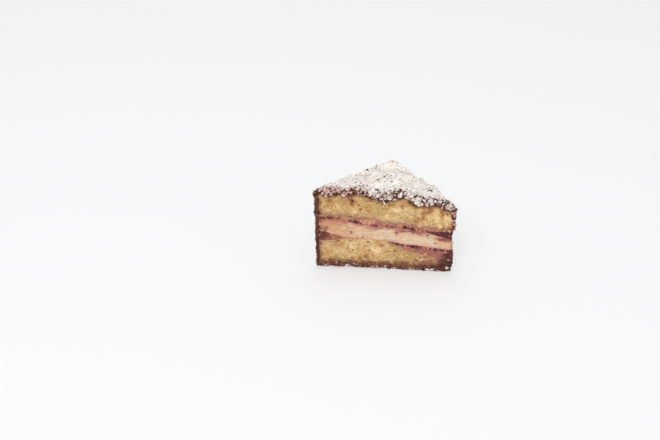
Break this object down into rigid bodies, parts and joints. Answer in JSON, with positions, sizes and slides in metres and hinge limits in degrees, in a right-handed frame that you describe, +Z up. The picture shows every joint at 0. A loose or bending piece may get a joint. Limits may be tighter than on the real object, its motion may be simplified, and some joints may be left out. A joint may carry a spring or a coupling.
{
  "type": "lamington cake",
  "caption": "Half of a square lamington cut corner to corner, with cream and jam between sponge layers, a chocolate coat and coconut, standing on its base.",
  "frame": {"origin": "under the middle of the whole box, on the table that the cake stands on", "axes": "+X along the cut face, +Y into the cake towards its uncut corner, +Z up; the cut face looks along -Y"},
  "size_m": [0.0978, 0.0498, 0.0619],
  "materials": {
    "coating": "thin dark chocolate coat stuck with white desiccated coconut, dry and rough",
    "sponge": "golden cut sponge, open crumb, dry",
    "cream": "ivory whipped cream, smeared by the knife, soft sheen",
    "jam": "dark berry jam, wet and glossy"
  },
  "bodies": {
    "root": {"coating": "coating", "sponge_lower": "sponge", "sponge_upper": "sponge", "cream": "cream", "jam_lower": "jam", "jam_upper": "jam"}
  },
  "joints": []
}
